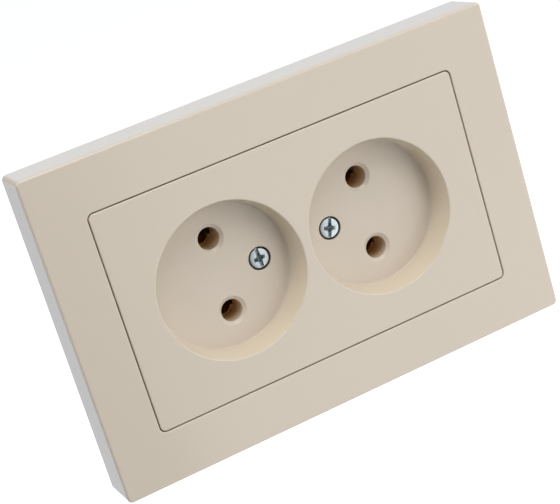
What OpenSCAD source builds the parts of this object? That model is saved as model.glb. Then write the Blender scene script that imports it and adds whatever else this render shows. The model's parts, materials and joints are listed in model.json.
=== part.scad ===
// Duplex wall outlet: two recessed two-pin sockets behind one cover, for a 60 mm round wall box.
// Row frame in millimetres: +X right, +Z up, -Y out of the wall; the wall surface is Y = 0.
// The modules are drawn in the wall's own axes and stood up by on_wall(): x right, y up,
// z out of the wall, so z = 0 is the wall surface and z = frame_t is the front face.

/* [Frame] */
// Width of the outer frame
frame_w = 123.8; // [118:0.2:140]
// Height of the outer frame
frame_h = 82; // [79:0.2:90]
// Thickness of the outer frame, from the wall to its front face
frame_t = 12.4; // [11.8:0.1:14]
// Radius of the frame's four corners, seen from the front
frame_corner = 1.8; // [1.5:0.1:4]
// Chamfer round the frame's front edge
frame_edge = 0.8; // [0.3:0.1:1.2]
// Wall thickness of the frame's moulding
frame_wall = 2.2; // [1.6:0.1:2.6]
// Width of the window that the cover fills
window_w = 98.3; // [96:0.1:100]
// Height of the window that the cover fills
window_h = 56.4; // [55:0.1:58]

/* [Cover] */
// Gap between the cover and the window, on each side
cover_gap = 0.4; // [0.2:0.05:0.5]
// Thickness of the cover's front plate
cover_plate = 2.2; // [1.6:0.1:2.8]
// Distance between the centres of the two recesses
recess_pitch = 41.1; // [40:0.1:42]
// Diameter of a recess at the cover's face
recess_d = 38.5; // [37:0.1:39.5]
// Diameter of a recess just above the fillet at its floor
recess_floor_d = 36.8; // [35:0.1:38]
// Depth of a recess
recess_depth = 7.6; // [7.4:0.1:8.2]
// Fillet between a recess's wall and its floor
recess_fillet = 0.6; // [0.3:0.1:2]

/* [Sockets] */
// Distance between the two pins of a plug
pin_pitch = 19; // [19:1:19]
// Diameter of a pin hole
pin_hole_d = 5.6; // [5.2:0.1:5.8]
// Diameter of the countersink round a pin hole
lead_in_d = 7.2; // [6.4:0.1:7.4]
// Length of the insulating tunnel behind a pin hole, from the recess's floor
tunnel_len = 7.0; // [6.6:0.1:7.2]

/* [Fixing] */
// Distance between the two wall-box screws
box_screw_pitch = 60; // [60:1:60]
// Width of the slot for a wall-box screw
box_slot_w = 4.2; // [3.8:0.1:4.4]
// Length of the slot for a wall-box screw, end to end
box_slot_len = 7.2; // [6:0.1:8]
// Distance between the two cover screws
cover_screw_pitch = 19.8; // [19:0.1:21]
// Swing of a cover screw's slot from vertical, left screw
cover_screw_turn_left = 4; // [-45:1:45]
// Swing of a cover screw's slot from vertical, right screw
cover_screw_turn_right = -17; // [-45:1:45]

/* [Mechanism] */
// Thickness of the yoke's steel sheet
yoke_t = 1.2; // [1:0.1:1.4]
// Width of the yoke
yoke_w = 84; // [76:1:90]
// Height of the yoke
yoke_h = 71; // [68:1:72]
// Radius of the round envelope that the socket base fits in
base_r = 29.3; // [29:0.1:29.8]
// Depth of the socket base behind the wall surface
base_depth = 19.6; // [19.5:0.1:22]
// Thickness of the plate that holds the contacts in the base
retainer_t = 2.0; // [1.6:0.1:2.2]

/* [Hidden] */
$fn = 48;
HULL_FN = 32;

LEFT = -1;
RIGHT = 1;
UP = 1;
DOWN = -1;
SIDES = [LEFT, RIGHT];
ROWS = [UP, DOWN];
EPS = 0.5; // how far a cutter runs past the face that it opens

IVORY = "#d8ccba";
ZINC = "#c9d3da";
GALVANISED = "#aeb3b6";
BRASS = "#c9a04e";
SPRING_STEEL = "#8f9499";
INSULATOR = "#e9e7e0";

// Places that several pieces share
floor_z = frame_t - recess_depth;         // the floor of a recess
floor_t = 1.8;                            // its thickness
cup_z = floor_z - floor_t;                // its back face
cup_r = recess_d / 2 + floor_t;           // outside of a recess's cup
ledge_z = frame_t - 3.5;                  // where the cover's skirt rests in the frame
ledge_t = 1.6;
ledge_w = 2.2;
cover_w = window_w - 2 * cover_gap;
cover_h = window_h - 2 * cover_gap;
socket_x = recess_pitch / 2;
pin_y = pin_pitch / 2;
tunnel_r = 4.3;                           // outside of a pin hole's tunnel
tunnel_end_z = floor_z - tunnel_len;
tunnel_gap = 0.3;                         // room round a tunnel in the pieces behind the cover
cover_screw_x = cover_screw_pitch / 2;

// Cover screw, M3 with a cheese head for a flat or a cross driver
m3_r = 1.5;
cover_head_r = 2.5;
cover_head_h = 1.9;
cover_head_z = floor_z - 0.1;             // top of the head, just under the floor
cover_seat_z = cover_head_z - cover_head_h;
cover_bore_r = 2.95;                      // counterbore round the head
cover_screw_len = 9;
boss_r = 4.4;                             // outside of the cover's boss round the screw
collar_r = 2.7;                           // the yoke's threaded collar
collar_len = 2.2;
collar_room_r = 3.1;                      // room for the collar in the pieces behind the yoke
collar_room_z = -10;                      // and for the end of the screw
thread_gap = 0.04;                        // running clearance of a screw in its thread
bearing_gap = 0.08;                       // and of a screw in a plain hole that it turns in

// Contacts: a U-shaped clip riveted to a busbar, with a steel spring round its leaves
strip_t = 0.9;
strip_z = -(base_depth - 2.4);            // back face of a busbar
strip_h = 6;
clip_t = 0.7;
clip_w = 6;
clip_gap = 3.8;                           // between the leaves where they grip
clip_base_z = strip_z + strip_t;
clip_top_z = tunnel_end_z - 1.1;
pocket_h = 7.8;
pocket_end_x = 24.6;
spring_t = 0.4;
spring_h = 3.4;

// Terminals: a busbar's platform, a clamp plate and an M3.5 screw, two on each pole
terminal_x = 5;
terminal_y = 17;
platform_t = 1.2;
platform_z = -6;                          // front face of the platform
platform_half_w = 9.2;
riser_y = 12.6;                           // inner face of the riser that carries the platform
platform_end_y = 20.9;
m35_r = 1.75;
clamp_w = 7.6;
clamp_h = 7.0;
clamp_t = 1.2;
clamp_z = platform_z + 0.1;
terminal_head_r = 2.9;
terminal_head_h = 1.9;
terminal_screw_len = 6.6;

// Claws: each turns on a pin between two ears of the yoke. Its screw draws a round nut forward,
// and the nut pushes the claw's foot, so the claw's teeth swing out to the wall of the box.
claw_pin_x = 22.6;
claw_pin_z = -4.6;
claw_pin_r = 1.0;
claw_barrel_r = 2.0;
claw_w = 6;
claw_t = 1.5;
claw_screw_x = 28;
claw_tip_z = -18.2;
claw_reach = 6.2;                         // from the pin's axis out to the teeth
ear_t = 1.0;
ear_y = claw_w / 2 + 0.2;
claw_foot_z = claw_pin_z + 0.4;           // back of the foot, where the nut pushes
claw_head_r = 2.9;
claw_head_h = 1.2;
claw_nut_r = 2.2;
claw_nut_z = claw_foot_z - claw_nut_r - 0.05;
notch_x = 19.8;                           // where the base and its lid leave room for a claw
notch_half_h = 4.5;

// Rivets through yoke, lid and base, and the pegs that key the frame to the yoke
rivet_x = 14.6;
rivet_y = 19.4;
rivet_r = 1.5;
rivet_head_r = 2.6;
rivet_tail_r = 2.5;
clip_rivet_r = 0.9;
peg_x = 30;
peg_y = 32.6;
peg_w = 5.4;
peg_t = 1.6;
peg_gap = 0.3;

// ---------- shared shapes ----------

module on_wall() {
    rotate([90, 0, 0]) children();
}

module rounded_rect(w, h, r) {
    square([w - 2 * r, h], center = true);
    square([w, h - 2 * r], center = true);
    for (x = SIDES, y = ROWS)
        translate([x * (w / 2 - r), y * (h / 2 - r)]) circle(r);
}

module slab(w, h, z0, z1, r) {
    translate([0, 0, z0]) linear_extrude(z1 - z0) rounded_rect(w, h, r);
}

// A slab with a chamfer round its front edge
module chamfered_slab(w, h, z0, z1, r, edge) {
    hull() {
        slab(w, h, z0, z1 - edge, r, $fn = HULL_FN);
        slab(w - 2 * edge, h - 2 * edge, z0, z1, max(r - edge, 0.2), $fn = HULL_FN);
    }
}

module block(x0, x1, y0, y1, z0, z1) {
    translate([x0, y0, z0]) cube([x1 - x0, y1 - y0, z1 - z0]);
}

module rod(x, y, z0, z1, r) {
    translate([x, y, z0]) cylinder(h = z1 - z0, r = r);
}

module slot(x, y, w, len, z0, z1) {
    for (s = ROWS) rod(x, y + s * (len - w) / 2, z0, z1, w / 2);
    block(x - w / 2, x + w / 2, y - (len - w) / 2, y + (len - w) / 2, z0, z1);
}

// Children once for each pin hole
module at_pins() {
    for (side = SIDES, row = ROWS)
        translate([side * socket_x, row * pin_y, 0]) children();
}

// Cross recess of a screw head: four arms and a tapered middle, cut down from z
module cross_recess(z, arm, depth) {
    arm_half_w = 0.38;
    for (turn = [0, 90])
        rotate([0, 0, turn])
            block(-arm, arm, -arm_half_w, arm_half_w, z - depth, z + EPS);
    translate([0, 0, z - depth]) cylinder(h = depth + EPS, r1 = 0.5, r2 = 0.95);
}

module driver_slot(z, half_len, width, depth) {
    block(-width / 2, width / 2, -half_len, half_len, z - depth, z + EPS);
}

// ---------- outer frame ----------

module frame_ribs() {
    rib_t = 1.2;
    rib_z0 = 4.2;
    rib_z1 = frame_t - frame_wall;
    side_pitch = 18;
    long_pitch = 28;
    for (side = SIDES, row = [-1, 0, 1])
        block(side > 0 ? window_w / 2 + 1 : -frame_w / 2 + 1,
              side > 0 ? frame_w / 2 - 1 : -window_w / 2 - 1,
              row * side_pitch - rib_t / 2, row * side_pitch + rib_t / 2, rib_z0, rib_z1);
    for (row = ROWS, step = [-1.5, -0.5, 0.5, 1.5])
        block(step * long_pitch - rib_t / 2, step * long_pitch + rib_t / 2,
              row > 0 ? window_h / 2 + 1 : -frame_h / 2 + 1,
              row > 0 ? frame_h / 2 - 1 : -window_h / 2 - 1, rib_z0, rib_z1);
}

// Four pegs that drop into slots of the yoke and keep the frame square to it
module frame_pegs() {
    for (side = SIDES, row = ROWS)
        block(side * peg_x - peg_w / 2, side * peg_x + peg_w / 2,
              row * peg_y - peg_t / 2, row * peg_y + peg_t / 2,
              0.2, frame_t - frame_wall + 0.1);
}

module outer_frame() {
    collar = 2.0;
    collar_z = 4.6;
    window_corner = 1.6;
    color(IVORY) {
        difference() {
            chamfered_slab(frame_w, frame_h, 0, frame_t, frame_corner, frame_edge);
            difference() {
                slab(frame_w - 2 * frame_wall, frame_h - 2 * frame_wall,
                     -EPS, frame_t - frame_wall, 1);
                slab(window_w + 2 * collar, window_h + 2 * collar,
                     collar_z, frame_t, 2);
            }
            slab(window_w, window_h, ledge_z, frame_t + EPS, window_corner);
            slab(window_w - 2 * ledge_w, window_h - 2 * ledge_w, -EPS, frame_t, 1);
            slab(window_w, window_h, -EPS, ledge_z - ledge_t, window_corner);
        }
        frame_ribs();
        frame_pegs();
    }
}

// ---------- front cover ----------

// The space that a plug goes into: a slightly tapered wall and a fillet at the floor
module recess_space() {
    r_top = recess_d / 2;
    r_low = recess_floor_d / 2;
    steps = 5;
    arc = [for (i = [0 : steps])
        let (a = 90 * i / steps)
        [r_low - recess_fillet * (1 - cos(a)), floor_z + recess_fillet * (1 - sin(a))]];
    rotate_extrude($fn = 96)
        polygon(concat(
            [[0, frame_t + EPS], [r_top, frame_t + EPS], [r_top, frame_t]],
            arc,
            [[0, floor_z]]));
}

module cover_body() {
    skirt = 1.6;
    corner = 1.3;
    brace_y = 14;
    brace_half_t = 0.6;
    chamfered_slab(cover_w, cover_h, frame_t - cover_plate, frame_t, corner, 0.3);
    difference() {
        slab(cover_w, cover_h, ledge_z + 0.05, frame_t - cover_plate + 0.1, corner);
        slab(cover_w - 2 * skirt, cover_h - 2 * skirt, ledge_z - EPS, frame_t, 1);
    }
    for (side = SIDES)
        rod(side * socket_x, 0, cup_z, frame_t - 0.5, cup_r, $fn = 96);
    for (side = SIDES, row = ROWS)
        block(side > 0 ? socket_x : -cover_w / 2 + 1,
              side > 0 ? cover_w / 2 - 1 : -socket_x,
              row * brace_y - brace_half_t, row * brace_y + brace_half_t,
              ledge_z + 1, frame_t - 1);
}

module front_cover() {
    color(IVORY) difference() {
        union() {
            difference() {
                cover_body();
                for (side = SIDES) translate([side * socket_x, 0, 0]) recess_space();
            }
            at_pins() rod(0, 0, tunnel_end_z, floor_z - 0.3, tunnel_r);
            for (side = SIDES)
                rod(side * cover_screw_x, 0, yoke_t + 0.05, floor_z - 0.3, boss_r);
        }
        at_pins() {
            rod(0, 0, tunnel_end_z - EPS, floor_z + EPS, pin_hole_d / 2);
            translate([0, 0, floor_z - 0.6])
                cylinder(h = 0.7, r1 = pin_hole_d / 2, r2 = lead_in_d / 2 + 0.1);
        }
        for (side = SIDES) {
            rod(side * cover_screw_x, 0, 0, floor_z + EPS, m3_r + 0.25);
            rod(side * cover_screw_x, 0, cover_seat_z, floor_z + EPS, cover_bore_r);
        }
    }
}

// Drawn round its own axis, in the wall's axes
module cover_screw(turn) {
    color(ZINC) rotate([0, 0, turn]) difference() {
        union() {
            rod(0, 0, cover_seat_z, cover_head_z, cover_head_r);
            rod(0, 0, cover_seat_z - cover_screw_len, cover_seat_z + 0.1, m3_r);
        }
        driver_slot(cover_head_z, cover_head_r + EPS, 0.7, 0.8);
        cross_recess(cover_head_z, 1.55, 1.1);
    }
}

// ---------- yoke ----------

module yoke_ears() {
    half_w = 2.1;
    for (side = SIDES, row = ROWS)
        difference() {
            block(side * claw_pin_x - half_w, side * claw_pin_x + half_w,
                  row > 0 ? ear_y : -ear_y - ear_t,
                  row > 0 ? ear_y + ear_t : -ear_y,
                  claw_pin_z - half_w, yoke_t);
            translate([side * claw_pin_x, 0, claw_pin_z])
                rotate([90, 0, 0])
                cylinder(h = 4 * ear_y, r = claw_pin_r, center = true);
        }
}

module yoke() {
    claw_room = 2.3;
    terminal_room_x = 9.8;
    terminal_room_y = 4.3;
    side_slot_x = 36.5;
    color(GALVANISED) difference() {
        union() {
            slab(yoke_w, yoke_h, 0, yoke_t, 6);
            for (side = SIDES)
                rod(side * cover_screw_x, 0, -collar_len, yoke_t, collar_r);
            yoke_ears();
        }
        at_pins() rod(0, 0, -EPS, yoke_t + EPS, tunnel_r + tunnel_gap + 0.1);
        for (side = SIDES) {
            rod(side * cover_screw_x, 0, -collar_len - EPS, yoke_t + EPS, m3_r + thread_gap);
            rod(side * claw_screw_x, 0, -EPS, yoke_t + EPS, m35_r + bearing_gap);
            for (row = ROWS) {
                rod(side * rivet_x, row * rivet_y, -EPS, yoke_t + EPS, rivet_r);
                block(side * peg_x - peg_w / 2 - peg_gap, side * peg_x + peg_w / 2 + peg_gap,
                      row * peg_y - peg_t / 2 - peg_gap, row * peg_y + peg_t / 2 + peg_gap,
                      -EPS, yoke_t + EPS);
            }
            // room for a claw's barrel and arm between the ears
            block(side * claw_pin_x - claw_room, side * claw_pin_x + claw_room,
                  -ear_y, ear_y, -EPS, yoke_t + EPS);
        }
        for (row = ROWS) {
            slot(0, row * box_screw_pitch / 2, box_slot_w, box_slot_len, -EPS, yoke_t + EPS);
            // window over the terminal screws
            block(-terminal_room_x, terminal_room_x, row * terminal_y - terminal_room_y,
                  row * terminal_y + terminal_room_y, -EPS, yoke_t + EPS);
        }
        // side windows that save weight and pass the wall plugs
        for (side = SIDES) slot(side * side_slot_x, 0, 5, 24, -EPS, yoke_t + EPS);
    }
}

module yoke_rivets() {
    color(GALVANISED) for (side = SIDES, row = ROWS) {
        x = side * rivet_x;
        y = row * rivet_y;
        rod(x, y, -base_depth, yoke_t + 0.1, rivet_r);
        rod(x, y, yoke_t, yoke_t + 0.9, rivet_head_r);
        rod(x, y, -base_depth - 0.8, -base_depth, rivet_tail_r);
    }
}

// ---------- insulating base and retainer ----------

module base_outline() {
    height = 45;
    intersection() {
        circle(base_r, $fn = 96);
        rounded_rect(2 * base_r, height, 2);
    }
}

// What both the base and its lid leave free: the claws and the rivets
module base_cutouts(z0, z1) {
    for (side = SIDES) {
        block(side > 0 ? notch_x : -base_r - 1, side > 0 ? base_r + 1 : -notch_x,
              -notch_half_h, notch_half_h, z0, z1);
        for (row = ROWS) rod(side * rivet_x, row * rivet_y, z0, z1, rivet_r);
    }
}

module contact_retainer() {
    notch_half_w = 9.8;
    notch_y = 13;
    color(INSULATOR) difference() {
        translate([0, 0, -retainer_t]) linear_extrude(retainer_t) base_outline();
        base_cutouts(-retainer_t - EPS, EPS);
        at_pins() rod(0, 0, -retainer_t - EPS, EPS, tunnel_r + tunnel_gap);
        for (side = SIDES)
            rod(side * cover_screw_x, 0, -retainer_t - EPS, EPS, collar_room_r);
        for (row = ROWS)
            block(-notch_half_w, notch_half_w, row > 0 ? notch_y : -24, row > 0 ? 24 : -notch_y,
                  -retainer_t - EPS, EPS);
    }
}

module socket_base() {
    floor_in = strip_z - 0.1;
    pocket_half_w = 4.05;
    side_gap = 0.2;
    chamber_z = -14;
    entry_half_w = 4;
    entry_y = 15;
    color(INSULATOR) difference() {
        translate([0, 0, -base_depth])
            linear_extrude(base_depth - retainer_t) base_outline();
        base_cutouts(-base_depth - EPS, 0);
        at_pins() rod(0, 0, tunnel_end_z - 0.5, 0, tunnel_r + tunnel_gap);
        for (side = SIDES) rod(side * cover_screw_x, 0, collar_room_z, 0, collar_room_r);
        for (row = ROWS) {
            // a channel for the busbar, wider at the clips
            block(-pocket_end_x, pocket_end_x,
                  row * pin_y - strip_h / 2 - side_gap,
                  row * pin_y + strip_h / 2 + side_gap, floor_in, 0);
            for (side = SIDES)
                block(side * socket_x - pocket_half_w, side * socket_x + pocket_half_w,
                      row * pin_y - pocket_h / 2, row * pin_y + pocket_h / 2, floor_in, 0);
            // the terminal chamber, open at the front
            y0 = riser_y - 1;
            y1 = platform_end_y + 0.3;
            block(-platform_half_w - 0.3, platform_half_w + 0.3,
                  row > 0 ? y0 : -y1, row > 0 ? y1 : -y0, chamber_z, 0);
            // a wire entry in the side for each terminal
            for (side = SIDES)
                block(side * terminal_x - entry_half_w, side * terminal_x + entry_half_w,
                      row > 0 ? entry_y : -24, row > 0 ? 24 : -entry_y, platform_z - 0.2, 0);
        }
    }
}

// ---------- contacts ----------

// row is UP for the line pole and DOWN for the neutral pole
module busbar(row) {
    color(BRASS) scale([1, row, 1]) difference() {
        union() {
            block(-pocket_end_x + 0.5, pocket_end_x - 0.5,
                  pin_y - strip_h / 2, pin_y + strip_h / 2, strip_z, strip_z + strip_t);
            block(-platform_half_w + 0.4, platform_half_w - 0.4,
                  riser_y - strip_t, riser_y, strip_z, platform_z);
            block(-platform_half_w + 0.4, platform_half_w - 0.4,
                  riser_y - strip_t, platform_end_y, platform_z - platform_t, platform_z);
            for (side = SIDES)
                rod(side * terminal_x, terminal_y, platform_z - platform_t - 1.2, platform_z, 2.9);
        }
        for (side = SIDES) {
            rod(side * terminal_x, terminal_y, platform_z - 4, platform_z + EPS,
                m35_r + thread_gap);
            rod(side * socket_x, pin_y, strip_z - EPS, strip_z + strip_t + EPS, clip_rivet_r);
        }
    }
}

module contact_clip(side, row) {
    grip = clip_gap / 2;                  // inside of a leaf where it grips
    foot = grip + 0.3;                    // and where it leaves the clip's foot
    lip = grip + 0.9;                     // and at its flared end
    bend_z = 3;
    grip_z = 7.2;
    top_z = clip_top_z - clip_base_z;
    // right half, down the outside from the flared end and back up the inside
    outside = [[lip + clip_t, top_z], [grip + clip_t, grip_z], [foot + clip_t, bend_z],
               [foot + clip_t, 0]];
    inside = [[foot, clip_t], [foot, bend_z], [grip, grip_z], [lip, top_z]];
    profile = concat(
        outside,
        [for (i = [len(outside) - 1 : -1 : 0]) [-outside[i][0], outside[i][1]]],
        [for (i = [len(inside) - 1 : -1 : 0]) [-inside[i][0], inside[i][1]]],
        inside);
    color(BRASS) translate([side * socket_x, row * pin_y, clip_base_z]) difference() {
        translate([-clip_w / 2, 0, 0]) rotate([90, 0, 90]) linear_extrude(clip_w) polygon(profile);
        rod(0, 0, -EPS, clip_t + EPS, clip_rivet_r);
    }
}

// A band of spring steel round the two leaves, open at one corner
module clip_spring(side, row) {
    inner_w = clip_w + 0.1;
    inner_h = clip_gap + 2 * clip_t + 0.5;
    z0 = clip_base_z + 4.6;
    color(SPRING_STEEL) translate([side * socket_x, row * pin_y, z0]) difference() {
        block(-inner_w / 2 - spring_t, inner_w / 2 + spring_t,
              -inner_h / 2 - spring_t, inner_h / 2 + spring_t, 0, spring_h);
        block(-inner_w / 2, inner_w / 2, -inner_h / 2, inner_h / 2, -EPS, spring_h + EPS);
        block(-side * inner_w / 2 - 1, -side * inner_w / 2 + 1, -1.2, 1.2, -EPS, spring_h + EPS);
    }
}

module clip_rivets() {
    color(BRASS) for (side = SIDES, row = ROWS) {
        x = side * socket_x;
        y = row * pin_y;
        rod(x, y, strip_z, clip_base_z + clip_t + 0.1, clip_rivet_r);
        rod(x, y, clip_base_z + clip_t, clip_base_z + clip_t + 0.5, 1.6);
    }
}

// ---------- terminals ----------

module clamp_plate(side, row) {
    color(GALVANISED) difference() {
        block(side * terminal_x - clamp_w / 2, side * terminal_x + clamp_w / 2,
              row * terminal_y - clamp_h / 2, row * terminal_y + clamp_h / 2,
              clamp_z, clamp_z + clamp_t);
        rod(side * terminal_x, row * terminal_y, clamp_z - EPS, clamp_z + clamp_t + EPS,
            m35_r + bearing_gap);
    }
}

module terminal_screw(side, row) {
    head_z = clamp_z + clamp_t + 0.05;
    color(ZINC) translate([side * terminal_x, row * terminal_y, 0]) difference() {
        union() {
            rod(0, 0, head_z, head_z + terminal_head_h, terminal_head_r);
            rod(0, 0, head_z - terminal_screw_len, head_z + 0.1, m35_r);
        }
        driver_slot(head_z + terminal_head_h, terminal_head_r + EPS, 0.8, 0.9);
        cross_recess(head_z + terminal_head_h, 1.7, 1.2);
    }
}

// ---------- claws ----------

// Drawn for the right side: barrel on the pin, foot on the screw, arm to the teeth
module claw_shape() {
    arm_x = claw_pin_x + claw_barrel_r - claw_t;
    tip_x = claw_pin_x + claw_reach;
    tooth = 1.5;
    tooth_pitch = 2.05;
    tooth_half_w = 0.95;
    difference() {
        union() {
            translate([claw_pin_x, 0, claw_pin_z]) rotate([90, 0, 0])
                cylinder(h = claw_w, r = claw_barrel_r, center = true);
            block(claw_pin_x, claw_screw_x + 3.2, -claw_w / 2, claw_w / 2,
                  claw_foot_z, claw_foot_z + claw_t);
            block(arm_x, arm_x + claw_t, -claw_w / 2, claw_w / 2, claw_tip_z, claw_pin_z);
            block(arm_x, tip_x - tooth + 0.1, -claw_w / 2, claw_w / 2,
                  claw_tip_z, claw_tip_z + claw_t);
            // three teeth that bite the wall of the box
            for (step = [-1, 0, 1])
                translate([tip_x - tooth, step * tooth_pitch, claw_tip_z])
                    linear_extrude(claw_t)
                        polygon([[0, -tooth_half_w], [tooth, 0], [0, tooth_half_w]]);
        }
        translate([claw_pin_x, 0, claw_pin_z]) rotate([90, 0, 0])
            cylinder(h = claw_w + 2 * EPS, r = claw_pin_r + 0.05, center = true);
        // a slot in the foot, so that the claw can turn on its screw
        rotate([0, 0, -90])
            slot(0, claw_screw_x, 2 * m35_r + 0.5, 2 * m35_r + 1.9,
                 claw_foot_z - EPS, claw_foot_z + claw_t + EPS);
    }
}

module claw(side) {
    color(GALVANISED) rotate([0, 0, side > 0 ? 0 : 180]) claw_shape();
}

module claw_pin(side) {
    color(SPRING_STEEL) translate([side * claw_pin_x, 0, claw_pin_z]) rotate([90, 0, 0])
        cylinder(h = 2 * (ear_y + ear_t), r = claw_pin_r, center = true);
}

module claw_nut(side) {
    color(GALVANISED) translate([side * claw_screw_x, 0, claw_nut_z]) difference() {
        rotate([90, 0, 0]) cylinder(h = claw_w, r = claw_nut_r, center = true);
        rod(0, 0, -claw_nut_r - EPS, claw_nut_r + EPS, m35_r + thread_gap);
    }
}

module claw_screw(side) {
    head_z = yoke_t + 0.02;
    color(ZINC) translate([side * claw_screw_x, 0, 0]) difference() {
        union() {
            rod(0, 0, head_z, head_z + claw_head_h, claw_head_r);
            rod(0, 0, claw_nut_z - claw_nut_r - 1.4, head_z + 0.1, m35_r);
        }
        driver_slot(head_z + claw_head_h, claw_head_r + EPS, 0.8, 0.8);
    }
}

// ---------- assembly ----------

on_wall() outer_frame();
on_wall() front_cover();
on_wall() translate([-cover_screw_x, 0, 0]) cover_screw(cover_screw_turn_left);  // cover_screw_left
on_wall() translate([cover_screw_x, 0, 0]) cover_screw(cover_screw_turn_right);  // cover_screw_right
on_wall() yoke();
on_wall() yoke_rivets();
on_wall() contact_retainer();
on_wall() socket_base();
on_wall() clip_rivets();

for (pole = [["line", UP], ["neutral", DOWN]]) {
    row = pole[1];
    on_wall() busbar(row);
    for (hand = [["left", LEFT], ["right", RIGHT]]) {
        place = str(pole[0], "_", hand[0]);
        side = hand[1];
        on_wall() contact_clip(side, row);
        on_wall() clip_spring(side, row);
        on_wall() clamp_plate(side, row);
        on_wall() terminal_screw(side, row);
    }
}

for (hand = [["left", LEFT], ["right", RIGHT]]) {
    side = hand[1];
    on_wall() claw(side);
    on_wall() claw_pin(side);
    on_wall() claw_nut(side);
    on_wall() claw_screw(side);
}
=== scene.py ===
# %% [markdown]
# # A flush wall outlet with two round recesses
#
# The mechanical design comes packed from CAD: every piece at its real size and place, in metres,
# with +X to the right, +Z up and -Y out of the wall. This lesson gives it its looks. Pieces that
# show from the front are rebuilt with the small radii that catch the light, the pieces behind them
# keep their CAD shape and get eased edges, and each finish is mixed from procedural nodes.

import json
import math

import bmesh
import bpy
from mathutils import Matrix, Vector


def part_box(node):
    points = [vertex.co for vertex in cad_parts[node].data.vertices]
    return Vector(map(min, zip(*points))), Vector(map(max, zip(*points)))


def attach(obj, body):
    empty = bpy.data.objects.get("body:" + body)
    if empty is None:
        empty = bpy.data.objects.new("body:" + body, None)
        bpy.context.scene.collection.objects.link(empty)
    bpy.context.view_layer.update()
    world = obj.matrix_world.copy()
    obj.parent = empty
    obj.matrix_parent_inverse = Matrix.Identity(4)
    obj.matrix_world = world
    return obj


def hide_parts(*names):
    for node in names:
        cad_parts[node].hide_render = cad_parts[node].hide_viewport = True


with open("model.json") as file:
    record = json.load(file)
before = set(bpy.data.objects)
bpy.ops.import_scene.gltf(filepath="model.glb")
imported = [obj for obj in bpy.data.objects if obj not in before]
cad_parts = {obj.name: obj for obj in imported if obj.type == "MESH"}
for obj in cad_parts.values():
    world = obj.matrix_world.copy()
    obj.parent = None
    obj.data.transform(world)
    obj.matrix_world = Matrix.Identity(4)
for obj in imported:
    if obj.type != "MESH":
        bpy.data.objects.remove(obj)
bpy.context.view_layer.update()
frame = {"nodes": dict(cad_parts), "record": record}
nodes = frame["nodes"]
print("CAD nodes:", len(nodes))

# %% [markdown]
# ## Where things are
#
# It is easier to think of an outlet as it lies on the bench, face up: x to the right, y up and
# z out of the wall. `on_wall` stands such a point up into the row frame. The few sizes that the
# new pieces need are read from the CAD nodes' boxes, so they follow the design if it changes.

# %% Wall axes and driving sizes
MM = 0.001


def on_wall(x, y, z):
    """A point in the wall's own axes, in millimetres, as a point of the frame, in metres."""
    return Vector((x, -z, y)) * MM


def node_box(name):
    """Lowest and highest corner of a CAD node, in the wall's own axes, in millimetres."""
    low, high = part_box(name)
    return (
        Vector((low.x, low.z, -high.y)) / MM,
        Vector((high.x, high.z, -low.y)) / MM,
    )


frame_low, frame_high = node_box("outer_frame")
FRAME_W = frame_high.x - frame_low.x
FRAME_H = frame_high.y - frame_low.y
FRAME_T = frame_high.z
cover_low, cover_high = node_box("front_cover")
COVER_W = cover_high.x - cover_low.x
COVER_H = cover_high.y - cover_low.y
TUNNEL_END = cover_low.z
clip_low, clip_high = node_box("contact_clip_line_right")
SOCKET_X = (clip_low.x + clip_high.x) / 2
PIN_Y = (clip_low.y + clip_high.y) / 2
screw_low, screw_high = node_box("cover_screw_right")
SCREW_X = (screw_low.x + screw_high.x) / 2
SCREW_TOP = screw_high.z
SIDES = (-1, 1)
print(f"frame {FRAME_W:.1f} x {FRAME_H:.1f} x {FRAME_T:.1f} mm, sockets at {SOCKET_X:.2f} mm")

# %% [markdown]
# ## Mesh helpers
#
# Two kinds of surface make almost everything on a moulded outlet. A frame is a profile carried
# round a rounded rectangle, so each point of the profile becomes one closed loop. A recess, a
# hole or a screw head is a profile turned round an axis. Both are lists of loops with the same
# number of points, so one function skins them.

# %% Loops and skins
CORNER_STEPS = 8


def rounded_loop(half_w, half_h, radius, z, steps=CORNER_STEPS):
    """Points anticlockwise round a rounded rectangle at height z."""
    points = []
    for corner, (sx, sy) in enumerate(((1, 1), (-1, 1), (-1, -1), (1, -1))):
        cx, cy = sx * (half_w - radius), sy * (half_h - radius)
        for step in range(steps + 1):
            angle = math.radians(90 * (corner + step / steps))
            points.append((cx + radius * math.cos(angle), cy + radius * math.sin(angle), z))
    return points


def circle_loop(radius, z, segments, centre=(0, 0)):
    """Points anticlockwise round a circle at height z."""
    turn = 2 * math.pi / segments
    return [
        (centre[0] + radius * math.cos(i * turn), centre[1] + radius * math.sin(i * turn), z)
        for i in range(segments)
    ]


def arc(centre, radius, start, end, steps):
    """Profile points on a round stretch; angles in degrees, 0 outwards and 90 up."""
    points = []
    for step in range(steps + 1):
        angle = math.radians(start + (end - start) * step / steps)
        points.append((centre[0] + radius * math.cos(angle), centre[1] + radius * math.sin(angle)))
    return points


def skin(bm, loops, closed=False):
    """Joins loops of equal length with quads; open ends get a flat cap, closed ones meet."""
    rings = [[bm.verts.new(on_wall(*point)) for point in loop] for loop in loops]
    pairs = list(zip(rings, rings[1:]))
    if closed:
        pairs.append((rings[-1], rings[0]))
    count = len(rings[0])
    for low, high in pairs:
        for i in range(count):
            j = (i + 1) % count
            bm.faces.new((low[i], low[j], high[j], high[i]))
    if not closed:
        bm.faces.new(list(reversed(rings[0])))
        bm.faces.new(rings[-1])


def new_piece(name, bm):
    """Closes a bmesh into an object with its normals outwards."""
    bmesh.ops.recalc_face_normals(bm, faces=bm.faces)
    mesh = bpy.data.meshes.new(name)
    bm.to_mesh(mesh)
    bm.free()
    piece = bpy.data.objects.new(name, mesh)
    bpy.context.scene.collection.objects.link(piece)
    return piece


def solid(name, *parts, closed=False):
    """An object from one or more lists of loops, each its own closed shell."""
    bm = bmesh.new()
    for loops in parts:
        skin(bm, loops, closed)
    return new_piece(name, bm)


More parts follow.
